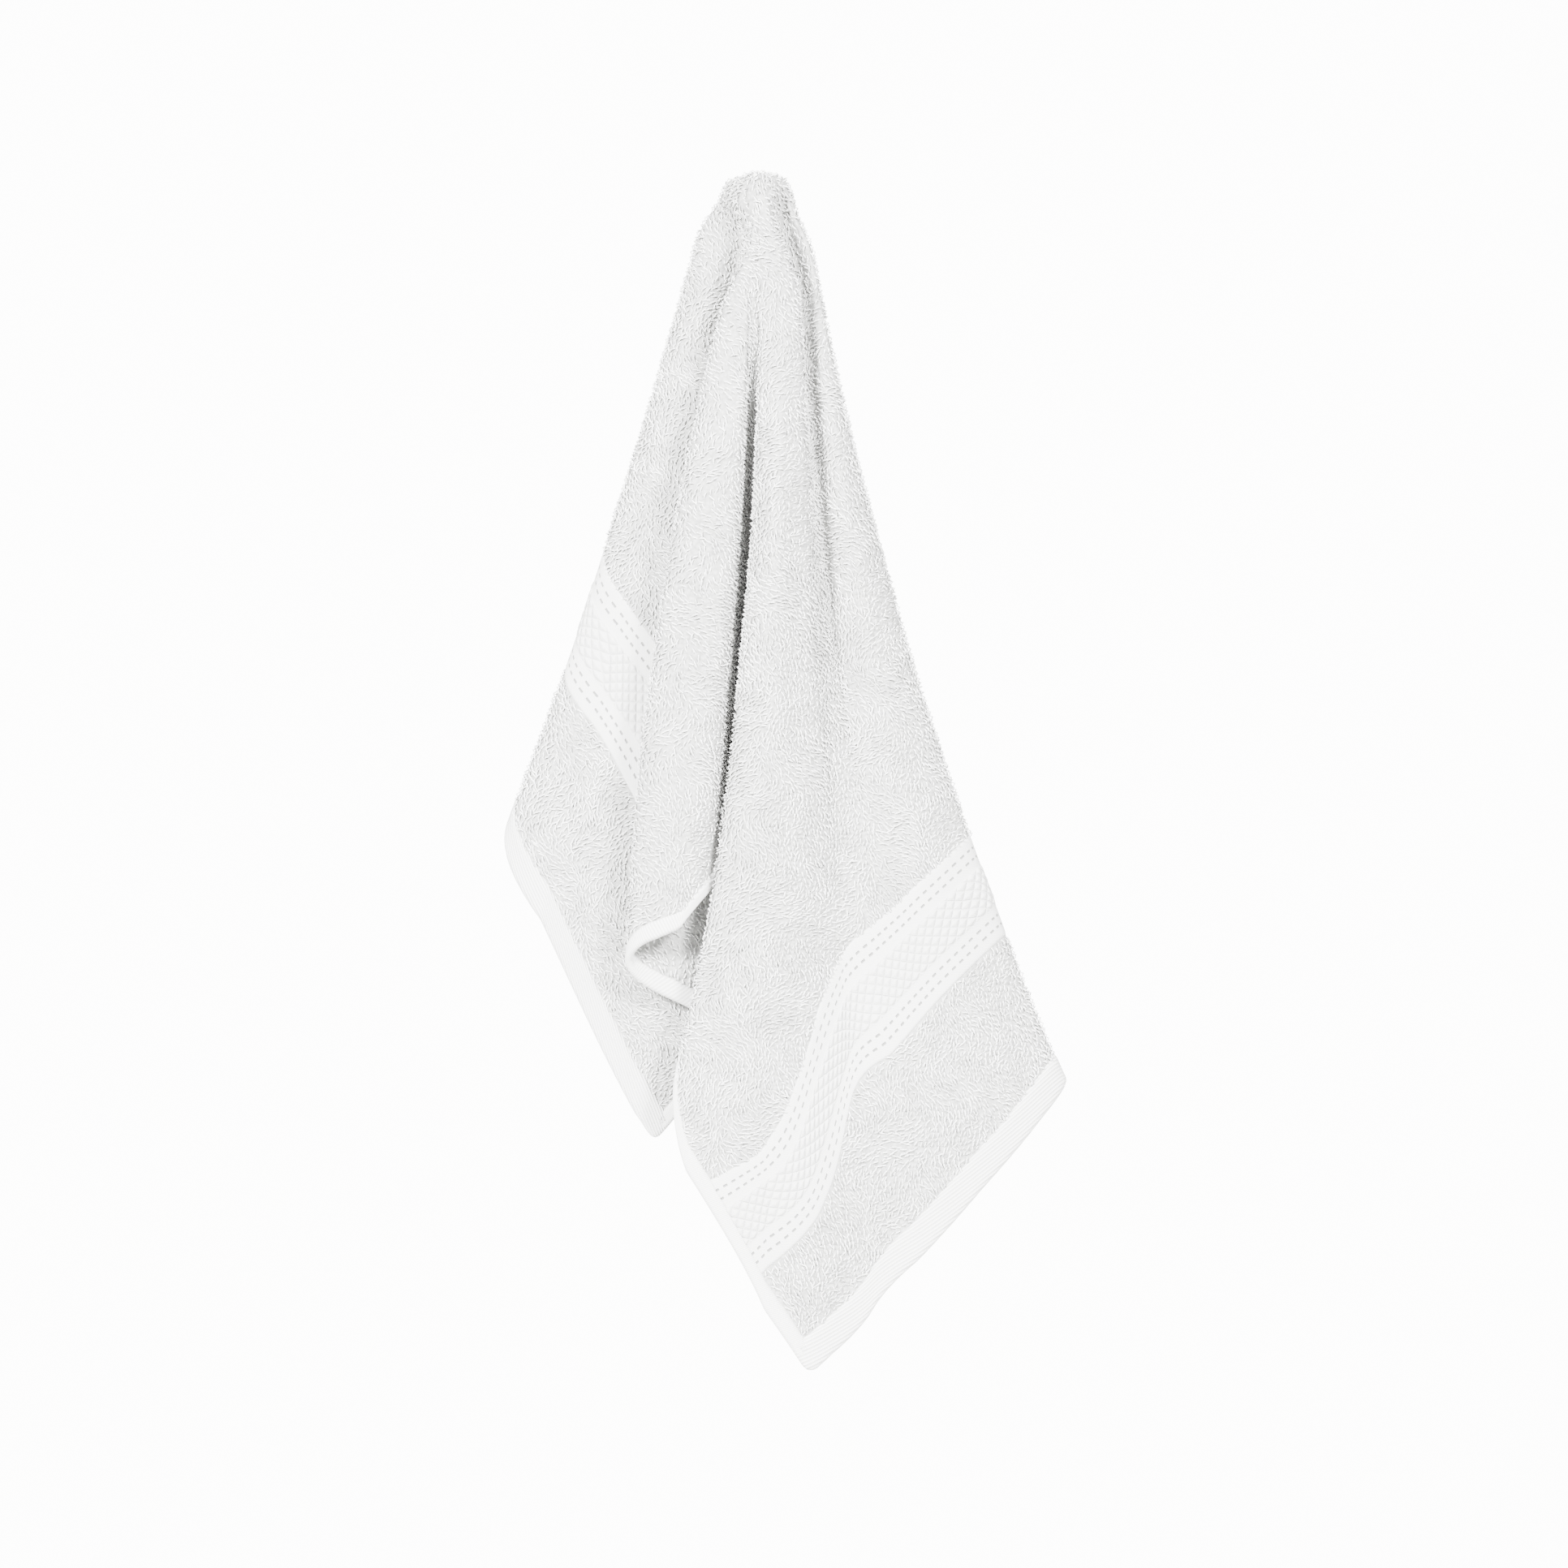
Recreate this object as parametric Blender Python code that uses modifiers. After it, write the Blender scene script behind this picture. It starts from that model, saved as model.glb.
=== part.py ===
# A terry hand towel hanging in folds from one point near its middle.
# The cloth is one thin closed sheet. Every point of it has a distance from the
# hook point and a bearing around it, and each row of the fold table says where
# the cloth goes along one bearing. Between rows the cloth turns in round folds.
import math

import bmesh
import bpy
import numpy as np

MM = 0.001

# The cut of the towel, hems included, as distances from the hook point to each edge.
EDGE_DISTANCE = {
    "front selvage": 240.0 * MM,
    "front end hem": 385.0 * MM,
    "back selvage": 170.0 * MM,
    "back end hem": 281.0 * MM,
}
EDGE_BEARING = {
    "front selvage": 0.0,
    "front end hem": 90.0,
    "back selvage": 180.0,
    "back end hem": 270.0,
}

CLOTH_THICKNESS = 2.4 * MM

# The round cap that the cloth makes over the hook.
CAP_RADIUS_X = 12.0 * MM
CAP_RADIUS_Y = 12.0 * MM
CAP_CENTRE_X = 1.0 * MM
CAP_DISTANCE = 19.0 * MM
# Depths are counted forward from a plane behind the towel; this one is the hook's.
HOOK_DEPTH = 24.0 * MM
# Where along the cloth the fold table's sides and depths are stated.
FOLD_DISTANCE = 60.0 * MM
TOP_DISTANCE = 50.0 * MM
MIDDLE_DISTANCE = 150.0 * MM
END_DISTANCE = 380.0 * MM
# Shares of a fold's settling distance. It moves in depth first, and then sideways.
DEPTH_RELEASE = 0.08
DEPTH_SETTLE = 0.6
SIDE_RELEASE = 0.3

# Where the cloth is sampled.
UPPER_DISTANCES = [3, 6, 10, 14, 18, 24, 30, 36, 42, 48, 54, 60, 72, 88, 108, 130, 150]
LOWER_STEPS = 7
SAMPLES_A_CONTROL = 3
LENGTH_STEP = 2.0 * MM
CORNER_CLEARANCE = 0.8
TURN_HALF_BEARING = 1.5
STEEPEST_SHARE = 0.25

FOLD_COLUMNS = (
    "name",         # which fold this is
    "bearing",      # degrees around the hook point, 0 at the nearest front selvage
    "ring",         # degrees around the cap, 0 right, 90 front, 180 left
    "settle",       # mm down the cloth where it has left the cap for its own place
    "start",        # mm down the cloth where its lean begins
    "side",         # mm to the right of the hook, 60 mm down the cloth
    "lean",         # sideways travel for each mm further down
    "bow",          # change of that lean for each mm
    "depth_top",    # mm forward, near the top
    "depth_low",    # mm forward, in the middle
    "depth_end",    # mm forward, at the hems
    "turn",         # mm forward that the cloth gains in a turn at this fold
    "taut",         # share of the cloth's length that shows as drop
)
FOLD_TABLE = [
    ("left silhouette", -70, 180, 42, 0, -25.5, -0.240, -0.00016, 14.0, 18.0, 17.0, 9.0, 0.90),
    ("left face", -59, 152, 52, 0, -17.5, -0.180, 0.0, 24.0, 31.0, 29.0, 0, 0.95),
    ("deep fold", -41.5, 128, 60, 0, -4.5, -0.045, 0.0, 27.5, 34.0, 32.0, 5.0, 1.0),
    ("pleat left", -37.3, 112, 60, 0, -12.3, -0.235, 0.00037, 35.0, 44.0, 44.0, 7.0, 1.0),
    ("pleat crest", -34.6, 102, 60, 0, -7.0, -0.115, 0.0, 42.0, 53.0, 53.0, 0, 1.0),
    ("pleat right", -33, 95, 60, 0, -3.6, -0.010, -0.00035, 42.5, 51.0, 51.0, 0, 1.0),
    ("gap left wall", -24, 94, 60, 60, -3.6, -0.045, 0.0, 42.0, 40.0, 40.0, 0, 1.0),
    ("gap lower wall", -8, 92, 60, 60, -1.5, 0.000, 0.0, 42.0, 30.5, 30.5, 0, 1.0),
    ("gap end lower", 6, 91, 60, 60, -0.5, 0.245, 0.0, 41.5, 30.7, 30.7, 0, 1.0),
    ("gap end upper", 14, 90, 60, 60, 0.5, 0.245, 0.0, 41.5, 37.2, 37.2, 0, 1.0),
    ("gap upper wall", 26, 89, 60, 60, 1.8, 0.060, 0.0, 42.0, 37.5, 37.5, 0, 1.0),
    ("gap right wall", 38, 88, 60, 60, 2.4, 0.000, -0.0002, 42.0, 42.0, 42.0, 0, 1.0),
    ("front left edge", 47.5, 86, 60, 60, 1.8, 0.000, -0.00045, 42.5, 52.0, 50.0, 0, 1.0),
    ("ridge crest", 54, 78, 60, 60, 8.5, -0.010, -0.00012, 44.0, 61.0, 57.5, 0, 1.0),
    ("corner ray", 58, 66, 60, 0, 12.5, 0.005, 0.00002, 43.0, 57.0, 56.5, 0, 1.0),
    ("ridge right edge", 60.5, 52, 60, 0, 16.2, 0.020, 0.00009, 41.0, 53.5, 51.0, 0, 0.99),
    ("ridge foot", 63, 46, 60, 0, 16.8, 0.035, 0.00012, 35.0, 45.5, 50.0, 0, 0.975),
    ("valley", 67, 34, 60, 0, 19.1, 0.100, 0.00012, 31.5, 42.0, 50.5, 0, 0.96),
    ("right slope", 72, 20, 52, 0, 21.5, 0.120, 0.00026, 31.0, 45.5, 48.0, 0, 0.935),
    ("right silhouette", 76.5, 0, 42, 0, 22.8, 0.174, 0.00028, 26.5, 32.5, 34.0, -8.0, 0.905),
    ("back fold 1", 94, -20, 90, 0, 3.0, 0.000, 0.0, 20.2, 24.0, 24.0, -5.0, 0.95),
    ("back fold 2", 105, -36, 90, 0, 15.0, 0.210, 0.0, 15.9, 19.2, 19.2, -5.6, 0.90),
    ("back fold 3", 121, -54, 95, 0, 2.0, -0.020, 0.0, 11.5, 14.4, 14.4, -5.6, 0.95),
    ("back fold 4", 143, -72, 100, 0, 15.0, 0.250, 0.0, 7.0, 9.6, 9.6, -5.0, 0.95),
    ("back fold 5", 172, -90, 105, 0, -16.0, -0.240, 0.0, 2.5, 4.8, 4.8, -5.4, 0.95),
    ("back fold 6", 203, -108, 110, 0, 14.0, 0.250, 0.0, -2.1, 0.0, 0.0, -5.4, 0.95),
    ("back fold 7", 226, -126, 120, 0, -13.0, -0.160, 0.0, -6.7, -4.8, -4.8, -5.0, 0.95),
    ("back fold 8", 241, -142, 120, 0, 12.0, 0.130, 0.0, -11.3, -9.6, -9.6, -5.8, 0.95),
    ("back left", 268, -162, 110, 0, -20.5, -0.210, 0.0, -12.0, -11.0, -9.0, 0, 0.93),
]

CLOTH_COLOUR = (0.86, 0.86, 0.85, 1.0)
CLOTH_ROUGHNESS = 0.95


def clear_scene():
    for item in list(bpy.data.objects):
        bpy.data.objects.remove(item, do_unlink=True)


def smooth_step(start, end, value):
    share = np.clip((value - start) / (end - start), 0.0, 1.0)
    return share * share * (3.0 - 2.0 * share)


def edge_reach(bearing):
    """Length of cloth from the hook point to the cut edge along a bearing."""
    lengths = []
    for edge, distance in EDGE_DISTANCE.items():
        facing = math.cos(math.radians(bearing - EDGE_BEARING[edge]))
        if facing > 1e-9:
            lengths.append(distance / facing)
    return min(lengths)


def corner_bearings():
    """Bearings of the four corners, from the distances of the edges that meet there."""
    names = list(EDGE_DISTANCE)
    found = []
    for first, second in zip(names, names[1:] + names[:1]):
        spread = math.atan2(EDGE_DISTANCE[second], EDGE_DISTANCE[first])
        bearing = EDGE_BEARING[first] + math.degrees(spread)
        found.append(bearing if bearing < 290.0 else bearing - 360.0)
    return found


def control_rows():
    """The fold table as dictionaries in metres; a fold that turns becomes two controls."""
    controls = []
    for row in FOLD_TABLE:
        fold = dict(zip(FOLD_COLUMNS, row))
        halves = (-0.5, 0.5) if fold["turn"] else (0.0,)
        for half in halves:
            controls.append({
                "bearing": fold["bearing"] + 2.0 * half * TURN_HALF_BEARING,
                "ring": math.radians(fold["ring"]),
                "settle": fold["settle"] * MM,
                "start": fold["start"] * MM,
                "side": fold["side"] * MM,
                "lean": fold["lean"],
                "bow": fold["bow"] / MM,
                "depth_top": (fold["depth_top"] + half * fold["turn"]) * MM,
                "depth_low": (fold["depth_low"] + half * fold["turn"]) * MM,
                "depth_end": (fold["depth_end"] + half * fold["turn"]) * MM,
                "taut": fold["taut"],
            })
    return controls


def control_path(control, distances):
    """Side and depth of one control at each distance down the cloth."""
    cap = np.sin(np.minimum(distances / CAP_DISTANCE, 1.0) * math.pi / 2.0)
    ring_side = cap * (CAP_CENTRE_X + CAP_RADIUS_X * math.cos(control["ring"]))
    ring_depth = HOOK_DEPTH + cap * CAP_RADIUS_Y * math.sin(control["ring"])
    further = np.maximum(distances, control["start"]) - FOLD_DISTANCE
    side = control["side"] + control["lean"] * further + control["bow"] * further ** 2
    middle_share = smooth_step(TOP_DISTANCE, MIDDLE_DISTANCE, distances)
    end_share = smooth_step(MIDDLE_DISTANCE, END_DISTANCE, distances)
    depth = control["depth_top"]
    depth = depth + (control["depth_low"] - control["depth_top"]) * middle_share
    depth = depth + (control["depth_end"] - control["depth_low"]) * end_share
    side_share = smooth_step(SIDE_RELEASE * control["settle"], control["settle"], distances)
    depth_share = smooth_step(DEPTH_RELEASE * control["settle"],
                              DEPTH_SETTLE * control["settle"], distances)
    return (ring_side + (side - ring_side) * side_share,
            ring_depth + (depth - ring_depth) * depth_share)


def fold_column(before, here, after, share, distances):
    """The cloth along one bearing, on the round curve that three controls guide."""
    weights = (0.5 * (1.0 - share) ** 2, 0.5 + share * (1.0 - share), 0.5 * share ** 2)
    side = np.zeros_like(distances)
    depth = np.zeros_like(distances)
    taut = 0.0
    for weight, control in zip(weights, (before, here, after)):
        control_side, control_depth = control_path(control, distances)
        side += weight * control_side
        depth += weight * control_depth
        taut += weight * control["taut"]
    run = np.diff(distances) * taut
    drop_squared = run ** 2 - np.diff(side) ** 2 - np.diff(depth) ** 2
    drops = np.sqrt(np.maximum(drop_squared, (STEEPEST_SHARE * run) ** 2))
    height = np.concatenate([[0.0], -np.cumsum(drops)])
    return side, depth, height


def sampled_bearings(controls):
    """Every sampled bearing with its three guiding controls, around the whole cloth."""
    count = len(controls)
    samples = []
    for index, here in enumerate(controls):
        before = controls[index - 1]
        after = controls[(index + 1) % count]
        before_bearing = before["bearing"] - (360.0 if index == 0 else 0.0)
        after_bearing = after["bearing"] + (360.0 if index == count - 1 else 0.0)
        start = (before_bearing + here["bearing"]) / 2.0
        end = (here["bearing"] + after_bearing) / 2.0
        shares = [step / SAMPLES_A_CONTROL for step in range(SAMPLES_A_CONTROL)]
        for corner in corner_bearings():
            share = (corner - start) / (end - start)
            if 0.0 <= share < 1.0:
                clearance = CORNER_CLEARANCE / (end - start)
                shares = [item for item in shares if abs(item - share) > clearance]
                shares.append(share)
        for share in sorted(shares):
            bearing = start + (end - start) * share
            samples.append((bearing, before, here, after, share))
    return samples


def cloth_columns():
    """Points of the cloth, one list for each bearing, from the hook point outwards."""
    columns = []
    for bearing, before, here, after, share in sampled_bearings(control_rows()):
        reach = edge_reach(bearing)
        upper = [distance * MM for distance in UPPER_DISTANCES]
        last = upper[-1]
        lower = [last + (reach - last) * step / LOWER_STEPS
                 for step in range(1, LOWER_STEPS + 1)]
        steps = int(math.ceil(reach / LENGTH_STEP))
        fine = np.linspace(0.0, reach, steps + 1)
        side, depth, height = fold_column(before, here, after, share, fine)
        wanted = np.array(upper + lower)
        xs = np.interp(wanted, fine, side)
        ys = HOOK_DEPTH - np.interp(wanted, fine, depth)
        zs = CLOTH_THICKNESS / 2.0 + np.interp(wanted, fine, height)
        columns.append(list(zip(xs, ys, zs)))
    return columns


def make_material():
    material = bpy.data.materials.new("cotton terry")
    material.use_nodes = True
    shader = material.node_tree.nodes["Principled BSDF"]
    shader.inputs["Base Color"].default_value = CLOTH_COLOUR
    shader.inputs["Roughness"].default_value = CLOTH_ROUGHNESS
    shader.inputs["Metallic"].default_value = 0.0
    return material


def make_towel(collection):
    """A loft from the hook point down every bearing, thickened to the cloth."""
    columns = cloth_columns()
    mesh = bpy.data.meshes.new("towel")
    sheet = bmesh.new()
    top = sheet.verts.new((0.0, 0.0, CLOTH_THICKNESS / 2.0))
    rows = [[sheet.verts.new(point) for point in column] for column in columns]
    for here, after in zip(rows, rows[1:] + rows[:1]):
        sheet.faces.new((top, here[0], after[0]))
        for upper in range(len(here) - 1):
            sheet.faces.new((here[upper], here[upper + 1], after[upper + 1], after[upper]))
    sheet.normal_update()
    sheet.to_mesh(mesh)
    sheet.free()
    mesh.materials.append(make_material())
    towel = bpy.data.objects.new("towel", mesh)
    collection.objects.link(towel)
    thickness = towel.modifiers.new("cloth thickness", "SOLIDIFY")
    thickness.thickness = CLOTH_THICKNESS
    thickness.offset = 0.0
    mesh.shade_smooth()
    return towel


def main():
    clear_scene()
    collection = bpy.data.collections.new("hand_towel")
    bpy.context.scene.collection.children.link(collection)
    make_towel(collection)


main()
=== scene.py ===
# The looks of a white terry hand towel that hangs from one point near its middle.
import math

import bpy
import numpy as np
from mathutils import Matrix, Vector, noise
from mathutils.bvhtree import BVHTree
from mathutils.kdtree import KDTree


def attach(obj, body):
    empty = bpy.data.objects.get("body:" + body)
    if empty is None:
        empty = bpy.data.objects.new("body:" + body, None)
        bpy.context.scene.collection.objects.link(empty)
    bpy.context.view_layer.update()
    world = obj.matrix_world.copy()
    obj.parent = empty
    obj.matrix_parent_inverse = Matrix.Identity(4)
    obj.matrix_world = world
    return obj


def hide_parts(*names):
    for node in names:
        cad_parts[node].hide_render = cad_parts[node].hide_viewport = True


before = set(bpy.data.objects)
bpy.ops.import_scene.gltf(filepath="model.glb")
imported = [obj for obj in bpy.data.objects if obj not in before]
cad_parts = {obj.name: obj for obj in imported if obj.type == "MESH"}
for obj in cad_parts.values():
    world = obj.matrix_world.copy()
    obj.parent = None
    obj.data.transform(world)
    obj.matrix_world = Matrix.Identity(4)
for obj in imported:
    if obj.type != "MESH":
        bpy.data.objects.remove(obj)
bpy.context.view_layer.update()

mm = 0.001

# The cut towel. Every place on it has u to one side and v to the front, in metres
# from the point where it hangs, and the edges lie at these distances.
towelCut = {
    "uLow": -170.0 * mm,
    "uHigh": 240.0 * mm,
    "vLow": -281.0 * mm,
    "vHigh": 385.0 * mm,
}

# The way it hangs, the same numbers as in the solid.
hangShape = {
    "halfSolid": 1.2 * mm,
    "capRadiusX": 12.0 * mm,
    "capRadiusY": 12.0 * mm,
    "capCentreX": 1.0 * mm,
    "capDistance": 19.0 * mm,
    "hookDepth": 24.0 * mm,
    "foldDistance": 60.0 * mm,
    "topDistance": 50.0 * mm,
    "middleDistance": 150.0 * mm,
    "endDistance": 380.0 * mm,
    "depthRelease": 0.08,
    "depthSettle": 0.6,
    "sideRelease": 0.3,
    "turnHalfBearing": 1.5,
    "steepestShare": 0.25,
    "lengthStep": 2.0 * mm,
    "longest": 464.0 * mm,
    "samplesAControl": 36,
    "swayAmount": 1.3 * mm,       # slow unevenness of loose cloth
    "swayLength": 55.0 * mm,
    "swaySeed": 7,                # Blender's noise starts from the clock without one
    "swayFrom": 40.0 * mm,        # below the hook, where it begins
    "swayFull": 200.0 * mm,
}

foldColumns = (
    "name",         # which fold this is
    "bearing",      # degrees around the hook point
    "ring",         # degrees around the cap, 0 right, 90 front, 180 left
    "settle",       # mm down the cloth where it has left the cap
    "start",        # mm down the cloth where its lean begins
    "side",         # mm to the right of the hook, 60 mm down the cloth
    "lean",         # sideways travel for each mm further down
    "bow",          # change of that lean for each mm
    "depthTop",     # mm forward, near the top
    "depthLow",     # mm forward, in the middle
    "depthEnd",     # mm forward, at the hems
    "turn",         # mm forward that the cloth gains in a turn here
    "taut",         # share of the cloth's length that shows as drop
)
foldTable = [
    ("left silhouette", -70, 180, 42, 0, -25.5, -0.240, -0.00016, 14.0, 18.0, 17.0, 9.0, 0.90),
    ("left face", -59, 152, 52, 0, -17.5, -0.180, 0.0, 24.0, 31.0, 29.0, 0, 0.95),
    ("deep fold", -41.5, 128, 60, 0, -4.5, -0.045, 0.0, 27.5, 34.0, 32.0, 5.0, 1.0),
    ("pleat left", -37.3, 112, 60, 0, -12.3, -0.235, 0.00037, 35.0, 44.0, 44.0, 7.0, 1.0),
    ("pleat crest", -34.6, 102, 60, 0, -7.0, -0.115, 0.0, 42.0, 53.0, 53.0, 0, 1.0),
    ("pleat right", -33, 95, 60, 0, -3.6, -0.010, -0.00035, 42.5, 51.0, 51.0, 0, 1.0),
    ("gap left wall", -24, 94, 60, 60, -3.6, -0.045, 0.0, 42.0, 40.0, 40.0, 0, 1.0),
    ("gap lower wall", -8, 92, 60, 60, -1.5, 0.000, 0.0, 42.0, 30.5, 30.5, 0, 1.0),
    ("gap end lower", 6, 91, 60, 60, -0.5, 0.245, 0.0, 41.5, 30.7, 30.7, 0, 1.0),
    ("gap end upper", 14, 90, 60, 60, 0.5, 0.245, 0.0, 41.5, 37.2, 37.2, 0, 1.0),
    ("gap upper wall", 26, 89, 60, 60, 1.8, 0.060, 0.0, 42.0, 37.5, 37.5, 0, 1.0),
    ("gap right wall", 38, 88, 60, 60, 2.4, 0.000, -0.0002, 42.0, 42.0, 42.0, 0, 1.0),
    ("front left edge", 47.5, 86, 60, 60, 1.8, 0.000, -0.00045, 42.5, 52.0, 50.0, 0, 1.0),
    ("ridge crest", 54, 78, 60, 60, 8.5, -0.010, -0.00012, 44.0, 61.0, 57.5, 0, 1.0),
    ("corner ray", 58, 66, 60, 0, 12.5, 0.005, 0.00002, 43.0, 57.0, 56.5, 0, 1.0),
    ("ridge right edge", 60.5, 52, 60, 0, 16.2, 0.020, 0.00009, 41.0, 53.5, 51.0, 0, 0.99),
    ("ridge foot", 63, 46, 60, 0, 16.8, 0.035, 0.00012, 35.0, 45.5, 50.0, 0, 0.975),
    ("valley", 67, 34, 60, 0, 19.1, 0.100, 0.00012, 31.5, 42.0, 50.5, 0, 0.96),
    ("right slope", 72, 20, 52, 0, 21.5, 0.120, 0.00026, 31.0, 45.5, 48.0, 0, 0.935),
    ("right silhouette", 76.5, 0, 42, 0, 22.8, 0.174, 0.00028, 26.5, 32.5, 34.0, -8.0, 0.905),
    ("back fold 1", 94, -20, 90, 0, 3.0, 0.000, 0.0, 20.2, 24.0, 24.0, -5.0, 0.95),
    ("back fold 2", 105, -36, 90, 0, 15.0, 0.210, 0.0, 15.9, 19.2, 19.2, -5.6, 0.90),
    ("back fold 3", 121, -54, 95, 0, 2.0, -0.020, 0.0, 11.5, 14.4, 14.4, -5.6, 0.95),
    ("back fold 4", 143, -72, 100, 0, 15.0, 0.250, 0.0, 7.0, 9.6, 9.6, -5.0, 0.95),
    ("back fold 5", 172, -90, 105, 0, -16.0, -0.240, 0.0, 2.5, 4.8, 4.8, -5.4, 0.95),
    ("back fold 6", 203, -108, 110, 0, 14.0, 0.250, 0.0, -2.1, 0.0, 0.0, -5.4, 0.95),
    ("back fold 7", 226, -126, 120, 0, -13.0, -0.160, 0.0, -6.7, -4.8, -4.8, -5.0, 0.95),
    ("back fold 8", 241, -142, 120, 0, 12.0, 0.130, 0.0, -11.3, -9.6, -9.6, -5.8, 0.95),
    ("back left", 268, -162, 110, 0, -20.5, -0.210, 0.0, -12.0, -11.0, -9.0, 0, 0.93),
]


def smoothStep(start, end, value):
    share = np.clip((value - start) / (end - start), 0.0, 1.0)
    return share * share * (3.0 - 2.0 * share)


def controlRows():
    # A fold that turns becomes two controls, a little before and after it.
    controls = []
    for row in foldTable:
        fold = dict(zip(foldColumns, row))
        for half in ((-0.5, 0.5) if fold["turn"] else (0.0,)):
            control = {key: fold[key] for key in ("lean", "taut")}
            control["bearing"] = fold["bearing"] + 2.0 * half * hangShape["turnHalfBearing"]
            control["ring"] = math.radians(fold["ring"])
            control["bow"] = fold["bow"] / mm
            for key in ("settle", "start", "side"):
                control[key] = fold[key] * mm
            for key in ("depthTop", "depthLow", "depthEnd"):
                control[key] = (fold[key] + half * fold["turn"]) * mm
            controls.append(control)
    return controls


def controlPath(control, distances):
    shape = hangShape
    cap = np.sin(np.minimum(distances / shape["capDistance"], 1.0) * math.pi / 2.0)
    ringSide = cap * (shape["capCentreX"] + shape["capRadiusX"] * math.cos(control["ring"]))
    ringDepth = shape["hookDepth"] + cap * shape["capRadiusY"] * math.sin(control["ring"])
    further = np.maximum(distances, control["start"]) - shape["foldDistance"]
    side = control["side"] + control["lean"] * further + control["bow"] * further ** 2
    middleShare = smoothStep(shape["topDistance"], shape["middleDistance"], distances)
    endShare = smoothStep(shape["middleDistance"], shape["endDistance"], distances)
    depth = control["depthTop"] + (control["depthLow"] - control["depthTop"]) * middleShare
    depth = depth + (control["depthEnd"] - control["depthLow"]) * endShare
    settle = control["settle"]
    sideShare = smoothStep(shape["sideRelease"] * settle, settle, distances)
    depthShare = smoothStep(shape["depthRelease"] * settle, shape["depthSettle"] * settle,
                            distances)
    return (ringSide + (side - ringSide) * sideShare,
            ringDepth + (depth - ringDepth) * depthShare)


def sway(points):
    # The whole stack of folds moves together, so no layer meets the next.
    noise.seed_set(hangShape["swaySeed"])
    scale = 1.0 / hangShape["swayLength"]
    share = smoothStep(hangShape["swayFrom"], hangShape["swayFull"], -points[:, 2])
    share = share * hangShape["swayAmount"]
    moves = np.array([noise.noise_vector(Vector(point) * scale) for point in points])
    moves[:, 2] = 0.0
    return points + moves * share[:, None]


def hangTable():
    # Points of the middle of the cloth on a fine net of bearings and distances.
    distances = np.arange(0.0, hangShape["longest"], hangShape["lengthStep"])
    controls = controlRows()
    paths = [controlPath(control, distances) for control in controls]
    count = len(controls)
    bearings = []
    columns = []
    for index, here in enumerate(controls):
        before = controls[index - 1]
        after = controls[(index + 1) % count]
        beforeBearing = before["bearing"] - (360.0 if index == 0 else 0.0)
        afterBearing = after["bearing"] + (360.0 if index == count - 1 else 0.0)
        start = (beforeBearing + here["bearing"]) / 2.0
        end = (here["bearing"] + afterBearing) / 2.0
        near = (index - 1, index, (index + 1) % count)
        for step in range(hangShape["samplesAControl"]):
            share = step / hangShape["samplesAControl"]
            # These weights draw a soft curve near the three controls.
            weights = (0.5 * (1.0 - share) ** 2, 0.5 + share * (1.0 - share), 0.5 * share ** 2)
            side = sum(weight * paths[item][0] for weight, item in zip(weights, near))
            depth = sum(weight * paths[item][1] for weight, item in zip(weights, near))
            taut = sum(weight * controls[item]["taut"] for weight, item in zip(weights, near))
            run = np.diff(distances) * taut
            dropSquared = run ** 2 - np.diff(side) ** 2 - np.diff(depth) ** 2
            least = (hangShape["steepestShare"] * run) ** 2
            height = np.concatenate([[0.0], -np.cumsum(np.sqrt(np.maximum(dropSquared, least)))])
            bearings.append(start + (end - start) * share)
            columns.append(np.stack([side, hangShape["hookDepth"] - depth,
                                     hangShape["halfSolid"] + height], axis=1))
    points = np.array(columns)
    shape = points.shape
    points = sway(points.reshape(-1, 3)).reshape(shape)
    points = np.concatenate([points, points[:1]])
    bearings = np.array(bearings + [bearings[0] + 360.0])
    return bearings, distances, points


def unit(vectors):
    return vectors / np.maximum(np.linalg.norm(vectors, axis=-1, keepdims=True), 1e-12)


def tableNormals(points):
    # Outward on the side that the photograph shows.
    around = np.empty_like(points)
    around[1:-1] = points[2:] - points[:-2]
    around[0] = around[-1] = points[1] - points[-2]
    down = np.gradient(points, axis=1)
    normals = np.cross(down, around)
    normals[:, 0] = (0.0, 0.0, 1.0)
    return unit(normals)


# The sharp creases of the photograph, each a soft trough down the cloth at one bearing.
creaseColumns = (
    "name",
    "bearing",      # degrees around the hook point
    "start",        # mm down the cloth
    "end",          # mm down the cloth
    "halfWidth",    # mm
    "depth",        # mm into the cloth's folds
)
creaseTable = [
    ("left of the pleat", -50.0, 14, 300, 7.0, 4.0),
    ("right of the ridge", 65.5, 10, 260, 4.0, 4.8),
    ("above the gap", 10.0, 40, 90, 4.0, 2.0),
]
creaseEase = {
    "fullAt": 2.5,      # times its start, where a crease has its whole depth
    "fadesFrom": 0.75,  # share of its end
}


def creased(points, normals):
    # The crease table's troughs, pressed into the cloth.
    for row in creaseTable:
        crease = dict(zip(creaseColumns, row))
        away = np.radians(bearings - crease["bearing"])[:, None] * distances[None, :] / mm
        start, end = crease["start"], crease["end"]
        along = smoothStep(start, start * creaseEase["fullAt"], distances / mm)
        along = along * (1.0 - smoothStep(end * creaseEase["fadesFrom"], end, distances / mm))
        trough = crease["depth"] * mm * np.exp(-(away / crease["halfWidth"]) ** 2) * along[None, :]
        points = points - normals * trough[..., None]
    return points


bearings, distances, clothPoints = hangTable()
clothPoints = creased(clothPoints, tableNormals(clothPoints))
clothNormals = tableNormals(clothPoints)
print("towel: hanging shape from", len(foldTable), "folds")


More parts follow.
